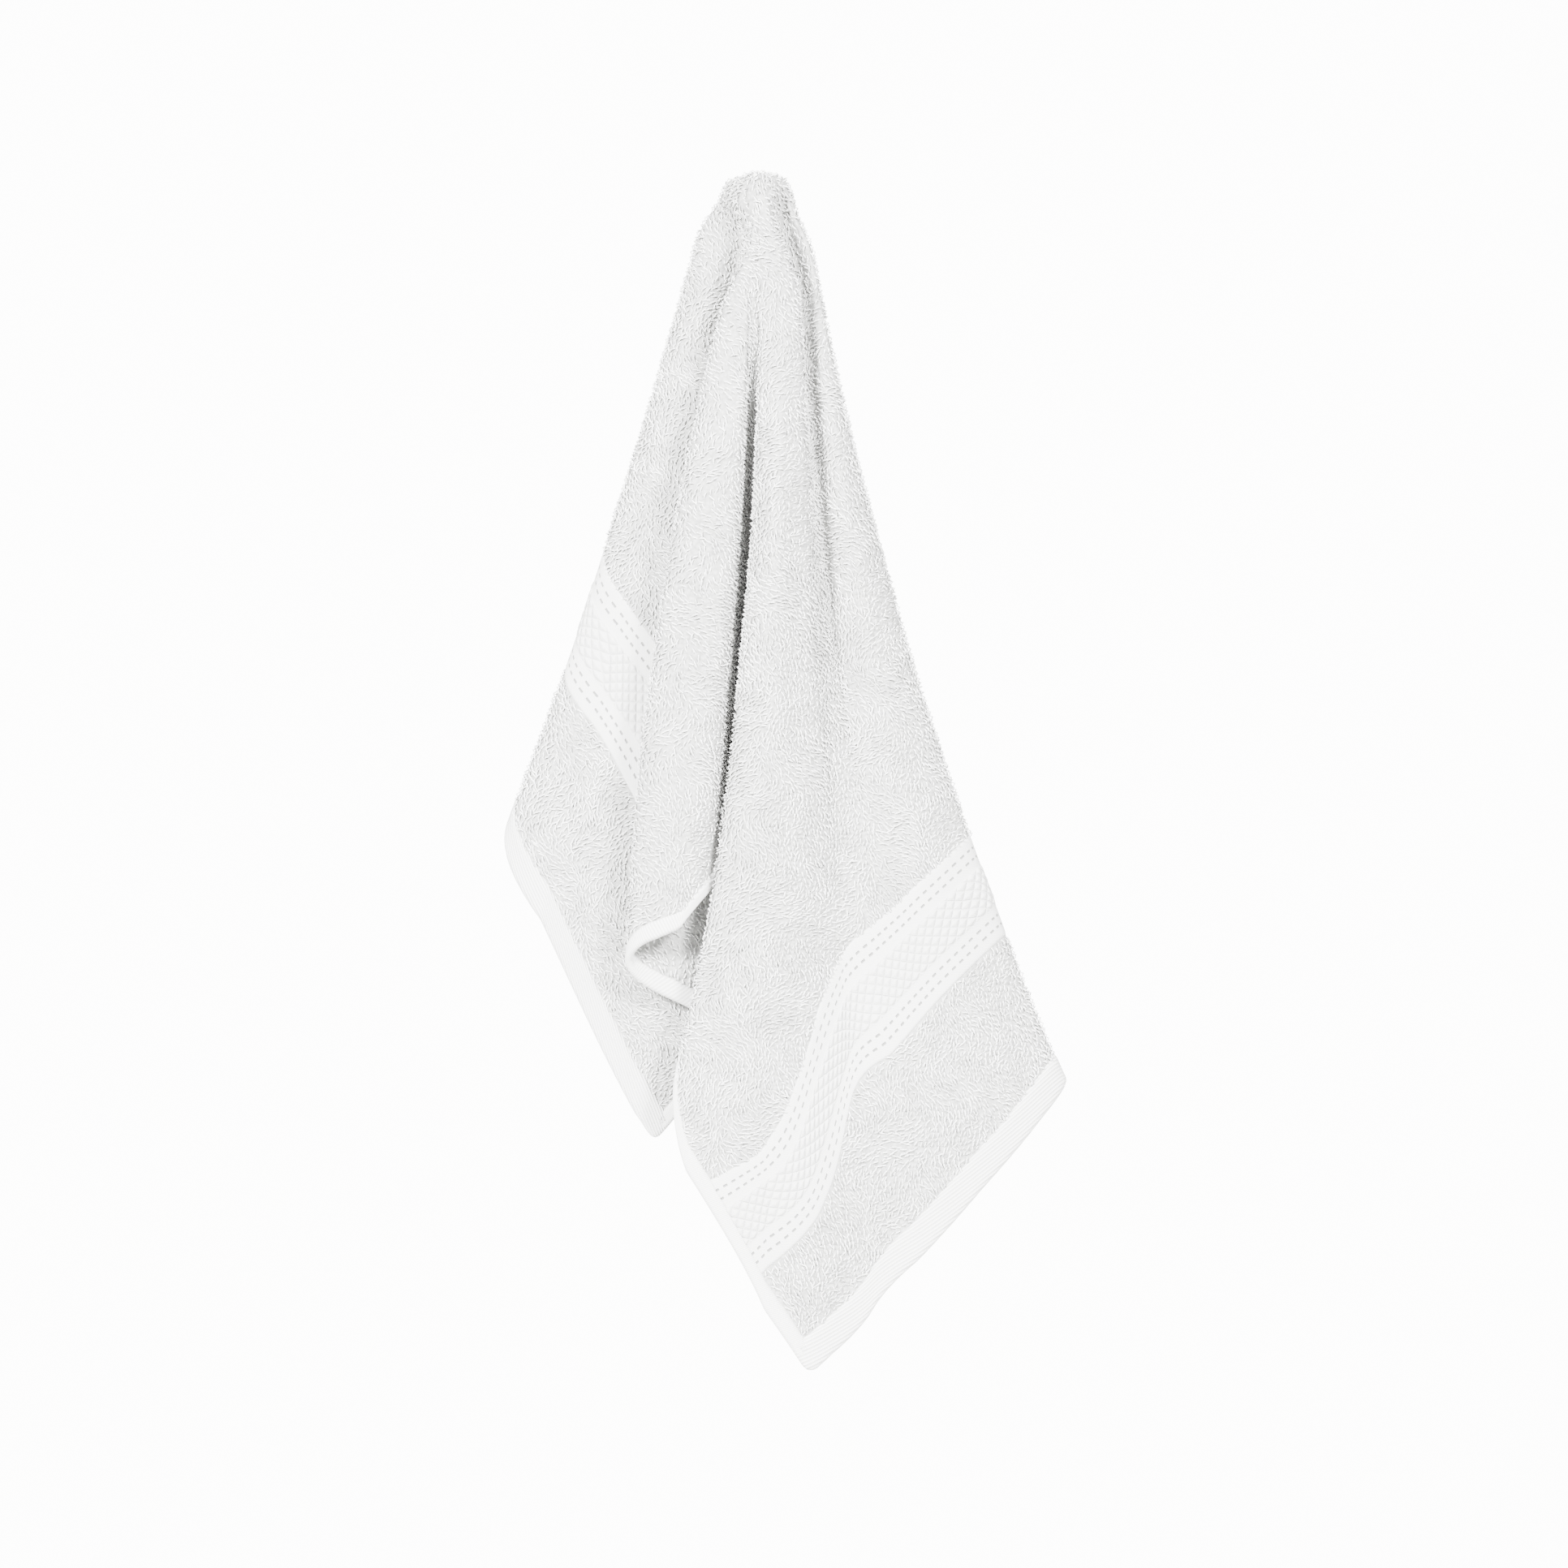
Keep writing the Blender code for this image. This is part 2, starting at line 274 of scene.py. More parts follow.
def onCloth(u, v):
    # Points and outward normals in the hanging shape, for arrays of places on the cut towel.
    bearing = np.degrees(np.arctan2(v, u))
    bearing = np.where(bearing < bearings[0], bearing + 360.0, bearing)
    column = np.interp(bearing, bearings, np.arange(len(bearings)))
    row = np.hypot(u, v) / hangShape["lengthStep"]
    column0 = np.minimum(column.astype(int), len(bearings) - 2)
    row0 = np.minimum(row.astype(int), len(distances) - 2)
    across = (column - column0)[..., None]
    along = (row - row0)[..., None]
    mixed = []
    for grid in (clothPoints, clothNormals):
        upper = grid[column0, row0] * (1.0 - across) + grid[column0 + 1, row0] * across
        lower = grid[column0, row0 + 1] * (1.0 - across) + grid[column0 + 1, row0 + 1] * across
        mixed.append(upper * (1.0 - along) + lower * along)
    return mixed[0], unit(mixed[1])


def meshPiece(name, points, faces, places=None):
    # points are (n, 3); faces are (m, 3) or (m, 4); places are u and v for each point.
    faces = np.asarray(faces, dtype=np.int32)
    corners = faces.shape[1]
    mesh = bpy.data.meshes.new(name)
    mesh.vertices.add(len(points))
    mesh.vertices.foreach_set("co", np.asarray(points, dtype=np.float32).ravel())
    mesh.loops.add(faces.size)
    mesh.loops.foreach_set("vertex_index", faces.ravel())
    mesh.polygons.add(len(faces))
    mesh.polygons.foreach_set("loop_start", np.arange(0, faces.size, corners, dtype=np.int32))
    if places is not None:
        layer = mesh.uv_layers.new(name="towel place")
        layer.uv.foreach_set("vector", np.asarray(places, dtype=np.float32)[faces.ravel()].ravel())
    mesh.update(calc_edges=True)
    mesh.validate()
    mesh.shade_smooth()
    piece = bpy.data.objects.new(name, mesh)
    bpy.context.scene.collection.objects.link(piece)
    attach(piece, "root")
    return piece


def stripPiece(name, u, v, half, across=None):
    # A closed piece around the cloth: u, v and half its thickness on one net of places.
    # Its material reads u, and v or the distance across the strip.
    points, normals = onCloth(u, v)
    rows, columns = u.shape
    outer = points + normals * half[..., None]
    inner = points - normals * half[..., None]
    count = rows * columns
    ids = np.arange(count).reshape(rows, columns)
    quads = np.stack([ids[:-1, :-1], ids[1:, :-1], ids[1:, 1:], ids[:-1, 1:]], axis=-1)
    quads = quads.reshape(-1, 4)
    rim = np.concatenate([ids[0, :], ids[1:, -1], ids[-1, -2::-1], ids[-2:0:-1, 0]])
    ahead = np.roll(rim, -1)
    sides = np.stack([rim, ahead, ahead + count, rim + count], axis=-1)
    faces = np.concatenate([quads, quads[:, ::-1] + count, sides])
    places = np.stack([u, v if across is None else across], axis=-1).reshape(-1, 2)
    return meshPiece(name, np.concatenate([outer.reshape(-1, 3), inner.reshape(-1, 3)]), faces,
                     np.concatenate([places, places]))


# Materials

def linearColour(hexText):
    parts = [int(hexText[at:at + 2], 16) / 255.0 for at in (1, 3, 5)]
    return [part / 12.92 if part <= 0.04045 else ((part + 0.055) / 1.055) ** 2.4
            for part in parts] + [1.0]


def addNode(tree, kind, settings=None, links=None):
    node = tree.nodes.new(kind)
    for key, value in (settings or {}).items():
        if isinstance(key, int) or key in node.inputs:
            node.inputs[key].default_value = value
        else:
            setattr(node, key, value)
    for key, source in (links or {}).items():
        tree.links.new(source, node.inputs[key])
    return node


cottonLooks = {
    "sheenRoughness": 0.6,
    "specular": 0.2,          # fibres give next to no gloss
}


def clothMaterial(name, looks):
    material = bpy.data.materials.new(name)
    material.use_nodes = True
    shader = material.node_tree.nodes["Principled BSDF"]
    shader.inputs["Roughness"].default_value = looks["roughness"]
    shader.inputs["Sheen Weight"].default_value = looks["sheen"]
    shader.inputs["Sheen Roughness"].default_value = cottonLooks["sheenRoughness"]
    shader.inputs["Specular IOR Level"].default_value = cottonLooks["specular"]
    return material, material.node_tree, shader


terryLooks = {
    "sheen": 0.35,
    "roughness": 0.95,
    "light": "#DADAD8",       # the lighter tone of the loops
    "shade": "#ACACAA",       # darker tone, mixed in by noise: random tone, and partly painted shade for the shade among the loops
    "clumpSize": 9.0 * mm,
    "strandSize": 1.1 * mm,
    "strandShare": 0.6,       # weight of the strands against the clumps
    "shadeUpTo": 0.55,        # of that sum, which lies around 0.8
    "lightFrom": 0.95,
    "fibreSize": 0.30 * mm,   # real fibres are finer, drawn coarser to show
    "fibreStrength": 0.6,
    "fibreDepth": 0.12 * mm,
}


def makeTerryMaterial():
    # Cotton terry, woven with loose loops and left uncut: quite matt, with a soft bloom.
    looks = terryLooks
    material, tree, shader = clothMaterial("cotton terry loops", looks)
    where = addNode(tree, "ShaderNodeTexCoord").outputs["Object"]
    clumps = addNode(tree, "ShaderNodeTexNoise",
                     {"Scale": 1.0 / looks["clumpSize"], "Detail": 2.0}, {"Vector": where})
    strands = addNode(tree, "ShaderNodeTexNoise",
                      {"Scale": 1.0 / looks["strandSize"], "Detail": 1.0}, {"Vector": where})
    blend = addNode(tree, "ShaderNodeMath", {"operation": "MULTIPLY_ADD", 1: looks["strandShare"]},
                    {0: strands.outputs["Fac"], 2: clumps.outputs["Fac"]})
    ramp = addNode(tree, "ShaderNodeMapRange",
                   {"From Min": looks["shadeUpTo"], "From Max": looks["lightFrom"]},
                   {"Value": blend.outputs[0]})
    # Two tones mixed by noise; the darker is partly painted shade, standing in for the shade among
    # the loops.
    colour = addNode(tree, "ShaderNodeMix", {"data_type": "RGBA"}, {0: ramp.outputs[0]})
    colour.inputs[6].default_value = linearColour(looks["shade"])
    colour.inputs[7].default_value = linearColour(looks["light"])
    tree.links.new(colour.outputs[2], shader.inputs["Base Color"])
    fibres = addNode(tree, "ShaderNodeTexNoise",
                     {"Scale": 1.0 / looks["fibreSize"], "Detail": 2.0}, {"Vector": where})
    bump = addNode(tree, "ShaderNodeBump",
                   {"Strength": looks["fibreStrength"], "Distance": looks["fibreDepth"]},
                   {"Height": fibres.outputs["Fac"]})
    tree.links.new(bump.outputs[0], shader.inputs["Normal"])
    return material


groundLooks = {
    "sheen": 0.2,
    "roughness": 0.95,
    # Both tones are painted shade: the ground is white cotton, drawn grey for the shade between the
    # loops.
    "light": "#A6A6A4",
    "shade": "#828280",
    "rowPitch": 1.6 * mm,     # rows of loops
    "rowDepth": 0.5 * mm,
}


def makeGroundShadeMaterial():
    # The plain woven ground that the loops stand on, seen only between them. Its grey is painted
    # shade, for the shade that falls there.
    looks = groundLooks
    material, tree, shader = clothMaterial("cotton terry ground in painted shade", looks)
    where = addNode(tree, "ShaderNodeTexCoord").outputs["Object"]
    cells = addNode(tree, "ShaderNodeTexVoronoi", {"Scale": 1.0 / looks["rowPitch"]},
                    {"Vector": where})
    colour = addNode(tree, "ShaderNodeMix", {"data_type": "RGBA"},
                     {0: cells.outputs["Distance"]})
    colour.inputs[6].default_value = linearColour(looks["light"])
    colour.inputs[7].default_value = linearColour(looks["shade"])
    tree.links.new(colour.outputs[2], shader.inputs["Base Color"])
    bump = addNode(tree, "ShaderNodeBump", {"Strength": 1.0, "Distance": looks["rowDepth"],
                                            "invert": True}, {"Height": cells.outputs["Distance"]})
    tree.links.new(bump.outputs[0], shader.inputs["Normal"])
    return material


borderLooks = {
    "sheen": 0.15,
    "roughness": 0.85,
    "thread": "#BBBBB9",
    "hollowShade": "#747472",       # painted shade in the lattice lines and stitch holes
    "lineShare": 0.30,
    "lineStrength": 0.05,
    "latticeFade": 0.4 * mm,
    "puffDepth": 0.6 * mm,
    "stitchPitch": 3.0 * mm,
    "stitchRise": (0.45, 0.70),     # where in the wave of one pitch a stitch begins and is full
    "stitchHalfWidth": 0.32 * mm,
    "stitchEdge": (1.4, 0.5),       # shares of that half width where it begins and is full
    "stitchDepth": 0.6 * mm,
    "twillPitch": 0.7 * mm,    # real threads lie about 0.4 mm apart, drawn coarser
    "twillDepth": 0.06 * mm,
    "twillStrength": 0.8,
}
hemLooks = {
    "sheen": 0.15,
    "roughness": 0.85,
    "thread": "#CCCCCA",
    # painted shade in the grooves between the ribs
    "grooveShade": "#B0B0AE",
    "endRibs": (1.35 * mm, 0.22 * mm),         # pitch and depth
    "selvageRibs": (0.70 * mm, 0.04 * mm),
    "ribAngle": 14.0,          # degrees between a rib and the hem's edge
    "half": 1.45 * mm,
    "endWidth": 12.0 * mm,
    "selvageWidth": 5.0 * mm,
}

# Ground cloth

groundShape = {
    "half": 0.65 * mm,
    "columnStep": 4,                 # of the net's bearings
    "upperRows": 44,
    "upperLength": 150.0 * mm,
    "lowerRows": 58,
    "trim": 1.0 * mm,                # the ground ends just inside the hems
}


def edgeReach(bearing):
    away = math.radians(bearing)
    cosine, sine = math.cos(away), math.sin(away)
    lengths = []
    for high, low, part in (("uHigh", "uLow", cosine), ("vHigh", "vLow", sine)):
        if abs(part) > 1e-9:
            trim = groundShape["trim"]
            edge = towelCut[high] - trim if part > 0.0 else towelCut[low] + trim
            lengths.append(edge / part)
    return min(lengths)


def makeGround():
    shape = groundShape
    step = shape["columnStep"]
    corners = [math.degrees(math.atan2(towelCut[v], towelCut[u]))
               for u in ("uLow", "uHigh") for v in ("vLow", "vHigh")]
    corners = [corner if corner > bearings[0] else corner + 360.0 for corner in corners]
    chosen = list(bearings[:-1:step])
    for corner in corners:
        nearest = min(range(len(chosen)), key=lambda item: abs(chosen[item] - corner))
        chosen[nearest] = corner
    chosen = np.array(chosen)
    upper = np.linspace(0.0, shape["upperLength"], shape["upperRows"] + 1)[1:]
    lowerShares = np.linspace(0.0, 1.0, shape["lowerRows"] + 1)[1:]
    reach = np.array([edgeReach(bearing) for bearing in chosen])
    lengths = np.concatenate([np.tile(upper, (len(chosen), 1)),
                              shape["upperLength"]
                              + (reach[:, None] - shape["upperLength"]) * lowerShares[None, :]],
                             axis=1)
    u = lengths * np.cos(np.radians(chosen))[:, None]
    v = lengths * np.sin(np.radians(chosen))[:, None]
    points, normals = onCloth(u, v)
    columns, rows = u.shape
    count = columns * rows
    tip = np.array([[0.0, 0.0, hangShape["halfSolid"]]])
    outer = (points + normals * shape["half"]).reshape(-1, 3)
    inner = (points - normals * shape["half"]).reshape(-1, 3)
    ids = np.arange(count).reshape(columns, rows)
    after = np.roll(ids, -1, axis=0)
    quads = np.stack([ids[:, :-1], ids[:, 1:], after[:, 1:], after[:, :-1]], axis=-1).reshape(-1, 4)
    topOuter, topInner = 2 * count, 2 * count + 1
    fan = np.stack([np.full(columns, topOuter), ids[:, 0], after[:, 0]], axis=-1)
    fanInner = np.stack([np.full(columns, topInner), after[:, 0] + count, ids[:, 0] + count],
                        axis=-1)
    rim = np.stack([ids[:, -1], ids[:, -1] + count, after[:, -1] + count, after[:, -1]], axis=-1)
    quads = np.concatenate([quads, quads[:, ::-1] + count, rim])
    triangles = np.concatenate([quads[:, [0, 1, 2]], quads[:, [0, 2, 3]], fan, fanInner])
    places = np.stack([u, v], axis=-1).reshape(-1, 2)
    allPoints = np.concatenate([outer, inner, tip + [[0, 0, shape["half"]]],
                                tip - [[0, 0, shape["half"]]]])
    piece = meshPiece("terry_ground", allPoints, triangles,
                      np.concatenate([places, places, [[0.0, 0.0], [0.0, 0.0]]]))
    piece.data.materials.append(makeGroundShadeMaterial())
    return piece


ground = makeGround()
print("towel: ground cloth,", len(ground.data.polygons), "triangles")

# Woven borders

borderShape = {
    "front": {
        "middle": 302.0 * mm,        # where its middle line lies on the cut towel
        "pulls": ((60.0 * mm, 135.0 * mm, -9.5 * mm), (150.0 * mm, 215.0 * mm, 31.0 * mm)),
        "scales": ((60.0 * mm, 1.2), (145.0 * mm, 1.32), (172.0 * mm, 0.98), (212.0 * mm, 0.98),
                   (235.0 * mm, 1.2)),                # stretch across, at places along u
    },
    "back": {
        "middle": -191.0 * mm,
        "pulls": ((60.0 * mm, 130.0 * mm, 11.0 * mm), (150.0 * mm, 225.0 * mm, -31.0 * mm)),
        "scales": ((145.0 * mm, 1.45), (215.0 * mm, 0.6)),   # crowded inside the deep fold
    },
    "width": 35.0 * mm,
    "step": 1.0 * mm,
    "half": 0.95 * mm,
    "edgeTuck": 0.20 * mm,
    "stitchLines": (4.0 * mm, 7.2 * mm, 27.8 * mm, 31.0 * mm),
    "latticeFrom": 10.8 * mm,
    "latticeTo": 24.2 * mm,
    "cell": 2.75 * mm,               # side of one square of the lattice
    "cellHeight": 0.50 * mm,
    "latticeEdge": 0.6 * mm,
    "underHem": 0.5 * mm,      # the border's ends go this far under the selvages
    "edgeEase": 1.2 * mm,
}


def borderMiddle(which, u):
    # The loose cloth is pulled askew where it hangs slantwise, so the border isn't straight.
    values = borderShape[which]
    middle = np.full_like(u, values["middle"])
    for start, end, shift in values["pulls"]:
        middle = middle + shift * smoothStep(start, end, u)
    return middle


def borderScale(which, u):
    places, scales = zip(*borderShape[which]["scales"])
    return np.interp(u, places, scales)


def latticeHeight(u, across):
    # Small puffed squares that stand on their corners across the border.
    shape = borderShape
    along = (u + across) / math.sqrt(2.0) * math.pi / shape["cell"]
    crossing = (u - across) / math.sqrt(2.0) * math.pi / shape["cell"]
    puff = np.sqrt(np.abs(np.sin(along) * np.sin(crossing)))
    edge = shape["latticeEdge"]
    inside = (smoothStep(shape["latticeFrom"] - edge, shape["latticeFrom"] + edge, across)
              * (1.0 - smoothStep(shape["latticeTo"] - edge, shape["latticeTo"] + edge, across)))
    return shape["cellHeight"] * puff * inside


def makeBorder(which, material):
    shape = borderShape
    widest = shape[which]["scales"][0][1]
    acrossCount = int(round(shape["width"] * widest / shape["step"])) + 1
    across = np.linspace(0.0, shape["width"], acrossCount)
    low = towelCut["uLow"] + hemLooks["selvageWidth"] - shape["underHem"]
    high = towelCut["uHigh"] - hemLooks["selvageWidth"] + shape["underHem"]
    u = np.linspace(low, high, int(round((high - low) / shape["step"])) + 1)
    acrossNet, uNet = np.meshgrid(across, u)
    half = shape["half"] + latticeHeight(uNet / widest, acrossNet)
    ends = smoothStep(0.0, shape["edgeEase"], acrossNet) * (1.0 - smoothStep(
        shape["width"] - shape["edgeEase"], shape["width"], acrossNet))
    half = half - shape["edgeTuck"] * (1.0 - ends)
    v = borderMiddle(which, uNet) + (acrossNet - shape["width"] / 2.0) * borderScale(which, uNet)
    piece = stripPiece("border_" + which, uNet, v, half, acrossNet)
    piece.data.materials.append(material)
    return piece


def evenWave(tree, source, pitch):
    # Rises and falls between 0 and 1, once in each pitch along one coordinate.
    turns = addNode(tree, "ShaderNodeMath", {"operation": "MULTIPLY", 1: 2.0 * math.pi / pitch},
                    {0: source})
    wave = addNode(tree, "ShaderNodeMath", {"operation": "SINE"}, {0: turns.outputs[0]})
    lifted = addNode(tree, "ShaderNodeMapRange", {"From Min": -1.0}, {"Value": wave.outputs[0]})
    return lifted.outputs[0]


def makeBorderMaterial(which):
    # Cotton dobby weave, pressed flat by its close threads: smoother than the loops.
    looks = borderLooks
    shape = borderShape
    material, tree, shader = clothMaterial("cotton dobby weave " + which, looks)
    place = addNode(tree, "ShaderNodeSeparateXYZ", None,
                    {0: addNode(tree, "ShaderNodeUVMap", {"uv_map": "towel place"}).outputs[0]})
    across = place.outputs[1]
    widest = shape[which]["scales"][0][1]
    along = addNode(tree, "ShaderNodeMath", {"operation": "DIVIDE", 1: widest},
                    {0: place.outputs[0]}).outputs[0]
    hole = None
    for line in shape["stitchLines"]:
        offset = addNode(tree, "ShaderNodeMath", {"operation": "SUBTRACT", 1: line}, {0: across})
        away = addNode(tree, "ShaderNodeMath", {"operation": "ABSOLUTE"}, {0: offset.outputs[0]})
        near = addNode(tree, "ShaderNodeMapRange", {
            "interpolation_type": "SMOOTHSTEP",
            "From Min": looks["stitchHalfWidth"] * looks["stitchEdge"][0],
            "From Max": looks["stitchHalfWidth"] * looks["stitchEdge"][1]},
            {"Value": away.outputs[0]}).outputs[0]
        hole = near if hole is None else addNode(
            tree, "ShaderNodeMath", {"operation": "MAXIMUM"}, {0: hole, 1: near}).outputs[0]
    dashOn = addNode(tree, "ShaderNodeMapRange", {
        "interpolation_type": "SMOOTHSTEP", "From Min": looks["stitchRise"][0],
        "From Max": looks["stitchRise"][1]}, {"Value": evenWave(tree, along, looks["stitchPitch"])})
    hole = addNode(tree, "ShaderNodeMath", {"operation": "MULTIPLY"},
                   {0: hole, 1: dashOn.outputs[0]}).outputs[0]
    lattice = None
    for operation in ("ADD", "SUBTRACT"):
        slant = addNode(tree, "ShaderNodeMath", {"operation": operation}, {0: along, 1: across})
        wave = addNode(tree, "ShaderNodeMath",
                       {"operation": "MULTIPLY", 1: math.pi / shape["cell"] / math.sqrt(2.0)},
                       {0: slant.outputs[0]})
        sine = addNode(tree, "ShaderNodeMath", {"operation": "SINE"}, {0: wave.outputs[0]})
        rise = addNode(tree, "ShaderNodeMath", {"operation": "ABSOLUTE"},
                       {0: sine.outputs[0]}).outputs[0]
        lattice = rise if lattice is None else addNode(
            tree, "ShaderNodeMath", {"operation": "MINIMUM"}, {0: lattice, 1: rise}).outputs[0]
    line = addNode(tree, "ShaderNodeMapRange", {"From Min": looks["lineShare"], "From Max": 0.0},
                   {"Value": lattice})
    bandMiddle = (shape["latticeFrom"] + shape["latticeTo"]) / 2.0
    halfBand = (shape["latticeTo"] - shape["latticeFrom"]) / 2.0
    middle = addNode(tree, "ShaderNodeMath", {"operation": "SUBTRACT", 1: bandMiddle}, {0: across})
    away = addNode(tree, "ShaderNodeMath", {"operation": "ABSOLUTE"}, {0: middle.outputs[0]})
    inside = addNode(tree, "ShaderNodeMapRange",
                     {"From Min": halfBand + looks["latticeFade"],
                      "From Max": halfBand - looks["latticeFade"]}, {"Value": away.outputs[0]})
    line = addNode(tree, "ShaderNodeMath", {"operation": "MULTIPLY"},
                   {0: line.outputs[0], 1: inside.outputs[0]})
    puff = addNode(tree, "ShaderNodeMath", {"operation": "MULTIPLY"},
                   {0: lattice, 1: inside.outputs[0]})
    faint = addNode(tree, "ShaderNodeMath", {"operation": "MULTIPLY", 1: looks["lineStrength"]},
                    {0: line.outputs[0]})
    hollowShadeMask = addNode(tree, "ShaderNodeMath", {"operation": "MAXIMUM"}, {0: hole, 1: faint.outputs[0]})
    ribs = evenWave(tree, addNode(tree, "ShaderNodeMath", {"operation": "ADD"},
                                  {0: along, 1: across}).outputs[0], looks["twillPitch"])
    # The hollows' mask darkens the thread: painted shade in the stitch holes and lattice lines.
    colour = addNode(tree, "ShaderNodeMix", {"data_type": "RGBA"}, {0: hollowShadeMask.outputs[0]})
    colour.inputs[6].default_value = linearColour(looks["thread"])
    colour.inputs[7].default_value = linearColour(looks["hollowShade"])
    tree.links.new(colour.outputs[2], shader.inputs["Base Color"])
    fine = addNode(tree, "ShaderNodeBump",
                   {"Strength": looks["twillStrength"], "Distance": looks["twillDepth"]},
                   {"Height": ribs})
    puffed = addNode(tree, "ShaderNodeBump", {"Strength": 1.0, "Distance": looks["puffDepth"]},
                     {"Height": puff.outputs[0], "Normal": fine.outputs[0]})
    deep = addNode(tree, "ShaderNodeBump", {"Strength": 1.0, "Distance": looks["stitchDepth"],
                                            "invert": True},
                   {"Height": hollowShadeMask.outputs[0], "Normal": puffed.outputs[0]})
    tree.links.new(deep.outputs[0], shader.inputs["Normal"])
    return material


borders = [makeBorder(which, makeBorderMaterial(which)) for which in ("front", "back")]
print("towel: woven borders")

# Hems

hemShape = {
    "step": 2.0 * mm,
    "acrossEnd": 12,
    "acrossSelvage": 8,
    "proud": 0.7 * mm,               # the folded edge stands past the cut
    "cornerRound": 4.0 * mm,
    "tuckShare": 0.12,
    "innerHalf": 0.75 * mm,          # half thickness at the seam, before it swells
    "roundShare": 0.22,
    "roundThin": 0.96,               # how far the folded edge thins out
    "crowding": 0.8,                 # the net is closest at the folded edge
    "tips": (0.0, 0.5 * mm, 1.2 * mm, 2.4 * mm),     # rows of the net at each end
    "tipLength": 1.5 * mm,
    "tipThin": 0.35,
    "endOverrun": 0.7 * mm,          # end hems cover the corners, selvages stop short of them
    "selvageOverrun": -5.0 * mm,
}


def makeHemMaterial(name, ribKind):
    # A hem of plain cotton without loops, folded twice and sewn: pressed, so less matt.
    looks = hemLooks
    pitch, depth = looks[ribKind]
    material, tree, shader = clothMaterial(name, looks)
    place = addNode(tree, "ShaderNodeSeparateXYZ", None,
                    {0: addNode(tree, "ShaderNodeUVMap", {"uv_map": "towel place"}).outputs[0]})
    angle = math.radians(looks["ribAngle"])
    slant = addNode(tree, "ShaderNodeMath", {"operation": "MULTIPLY", 1: math.sin(angle)},
                    {0: place.outputs[0]})
    height = addNode(tree, "ShaderNodeMath", {"operation": "MULTIPLY_ADD", 1: math.cos(angle)},
                     {0: place.outputs[1], 2: slant.outputs[0]})
    ribs = evenWave(tree, height.outputs[0], pitch)
    # The ribs' wave mixes the colours: painted shade in the grooves, thread colour on the ribs.
    colour = addNode(tree, "ShaderNodeMix", {"data_type": "RGBA"}, {0: ribs})
    colour.inputs[6].default_value = linearColour(looks["grooveShade"])
    colour.inputs[7].default_value = linearColour(looks["thread"])
    tree.links.new(colour.outputs[2], shader.inputs["Base Color"])
    bump = addNode(tree, "ShaderNodeBump", {"Strength": 1.0, "Distance": depth}, {"Height": ribs})
    tree.links.new(bump.outputs[0], shader.inputs["Normal"])
    return material


def makeHem(name, width, fixed, direction, low, high, alongU, material):
    shape = hemShape
    share = np.linspace(0.0, 1.0, shape["acrossEnd" if alongU else "acrossSelvage"])
    share = share ** shape["crowding"]
    along = np.linspace(low, high, int(round((high - low) / shape["step"])) + 1)
    tips = np.array(shape["tips"])
    along = np.concatenate([low + tips, along[2:-2], high - tips[::-1]])
    shareNet, alongNet = np.meshgrid(share, along)
    ends = np.minimum(alongNet - low, high - alongNet)
    bend = np.clip(shape["cornerRound"] - ends, 0.0, shape["cornerRound"])
    cornerCut = shape["cornerRound"] - np.sqrt(shape["cornerRound"] ** 2 - bend ** 2)
    reach = width + shape["proud"] - cornerCut
    acrossNet = fixed - direction * width + direction * shareNet * reach
    tuck = smoothStep(0.0, shape["tuckShare"], shareNet)
    roundOff = np.clip((shareNet - 1.0 + shape["roundShare"]) / shape["roundShare"], 0.0, 1.0)
    half = shape["innerHalf"] + (hemLooks["half"] - shape["innerHalf"]) * tuck
    half = half * np.sqrt(1.0 - shape["roundThin"] * roundOff ** 2)
    tip = np.sqrt(np.clip(ends / shape["tipLength"], 0.0, 1.0))
    half = half * (shape["tipThin"] + (1.0 - shape["tipThin"]) * tip)
    net = (alongNet, acrossNet) if alongU else (acrossNet, alongNet)
    if (direction > 0) != alongU:
        net = tuple(part[:, ::-1] for part in net)
        half = half[:, ::-1]
    piece = stripPiece(name, net[0], net[1], half)
    piece.data.materials.append(material)
    return piece


endMaterial = makeHemMaterial("cotton twill hem", "endRibs")
selvageMaterial = makeHemMaterial("plain cotton selvage", "selvageRibs")
for hemName, edge, hemWay in (("hem_front", "vHigh", 1), ("hem_back", "vLow", -1)):
    makeHem(
        hemName, hemLooks["endWidth"], towelCut[edge], hemWay,
        towelCut["uLow"] - hemShape["endOverrun"], towelCut["uHigh"] + hemShape["endOverrun"],
        True, endMaterial)
for hemName, edge, hemWay in (("selvage_right", "uHigh", 1), ("selvage_left", "uLow", -1)):
    makeHem(
        hemName, hemLooks["selvageWidth"], towelCut[edge], hemWay,
        towelCut["vLow"] - hemShape["selvageOverrun"],
        towelCut["vHigh"] + hemShape["selvageOverrun"], False, selvageMaterial)
print("towel: hems")

# Terry loops

